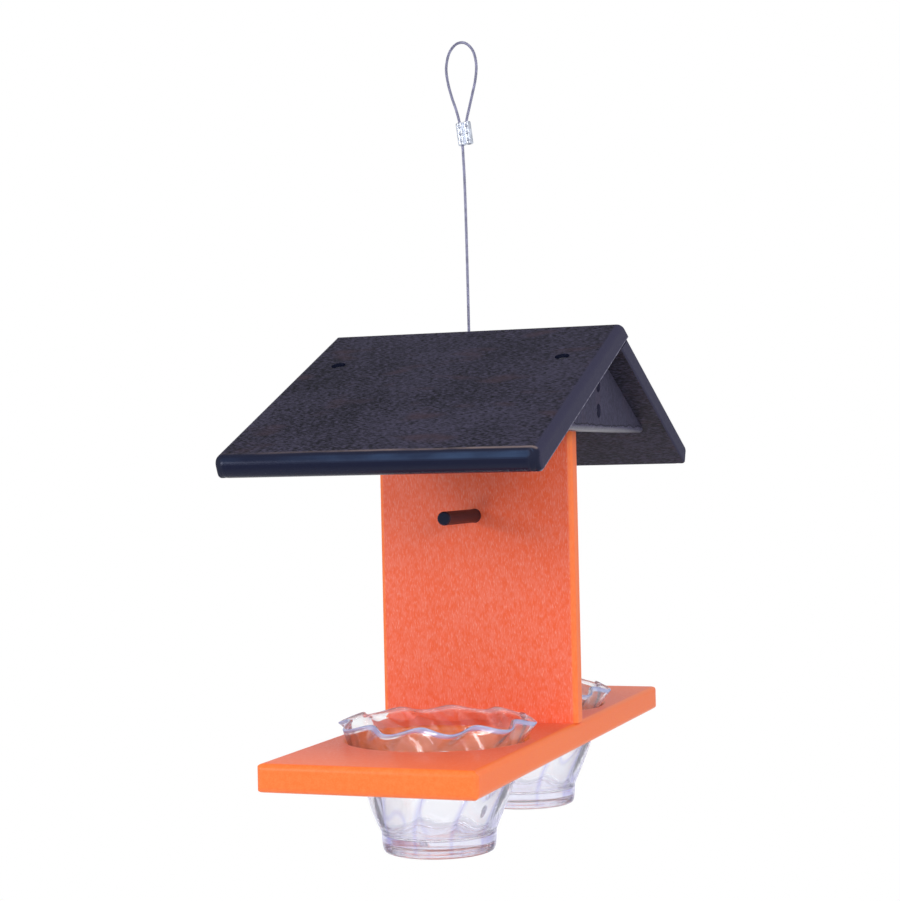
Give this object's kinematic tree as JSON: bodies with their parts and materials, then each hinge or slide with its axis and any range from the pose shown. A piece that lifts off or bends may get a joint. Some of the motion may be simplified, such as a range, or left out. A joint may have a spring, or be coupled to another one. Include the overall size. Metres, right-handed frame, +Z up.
{
  "type": "oriole feeder",
  "caption": "Hanging bird feeder: orange board with swirl-fluted clear jelly cups, upright with a peg for orange halves, black pitched roof and a cable with a loop.",
  "frame": {"origin": "inside top of the hanging loop, where a hook holds the feeder", "axes": "+Z up along the cable, +Y from the front panel's side to the rear along the base board, +X along the ridge"},
  "size_m": [0.1708, 0.3492, 0.4401],
  "materials": {
    "orange_lumber": "satin, mottled, with fine streaks",
    "black_lumber": "satin, mottled, with fine streaks",
    "peg": "smooth satin",
    "clear_cup": "clear gloss",
    "cable": "smooth",
    "ferrule": "bright, pressed",
    "screw": "satin"
  },
  "bodies": {
    "feeder": {"base_board": "orange_lumber", "upright_board": "orange_lumber", "front_roof_panel": "black_lumber", "rear_roof_panel": "black_lumber", "left_gable_block": "black_lumber", "right_gable_block": "black_lumber", "orange_peg": "peg", "hanging_cable": "cable", "loop_ferrule": "ferrule", "stop_ferrule": "ferrule", "front_roof_screws": "screw", "rear_roof_screws": "screw", "left_gable_screws": "screw", "right_gable_screws": "screw", "base_screws": "screw"},
    "front_cup": {"front_jelly_cup": "clear_cup"},
    "rear_cup": {"rear_jelly_cup": "clear_cup"}
  },
  "joints": [
    {"name": "front_cup_lift", "type": "slide", "parent": "feeder", "child": "front_cup", "axis": [0, 0, 1], "range_m": [0, 0.065]},
    {"name": "rear_cup_lift", "type": "slide", "parent": "feeder", "child": "rear_cup", "axis": [0, 0, 1], "range_m": [0, 0.065]}
  ]
}
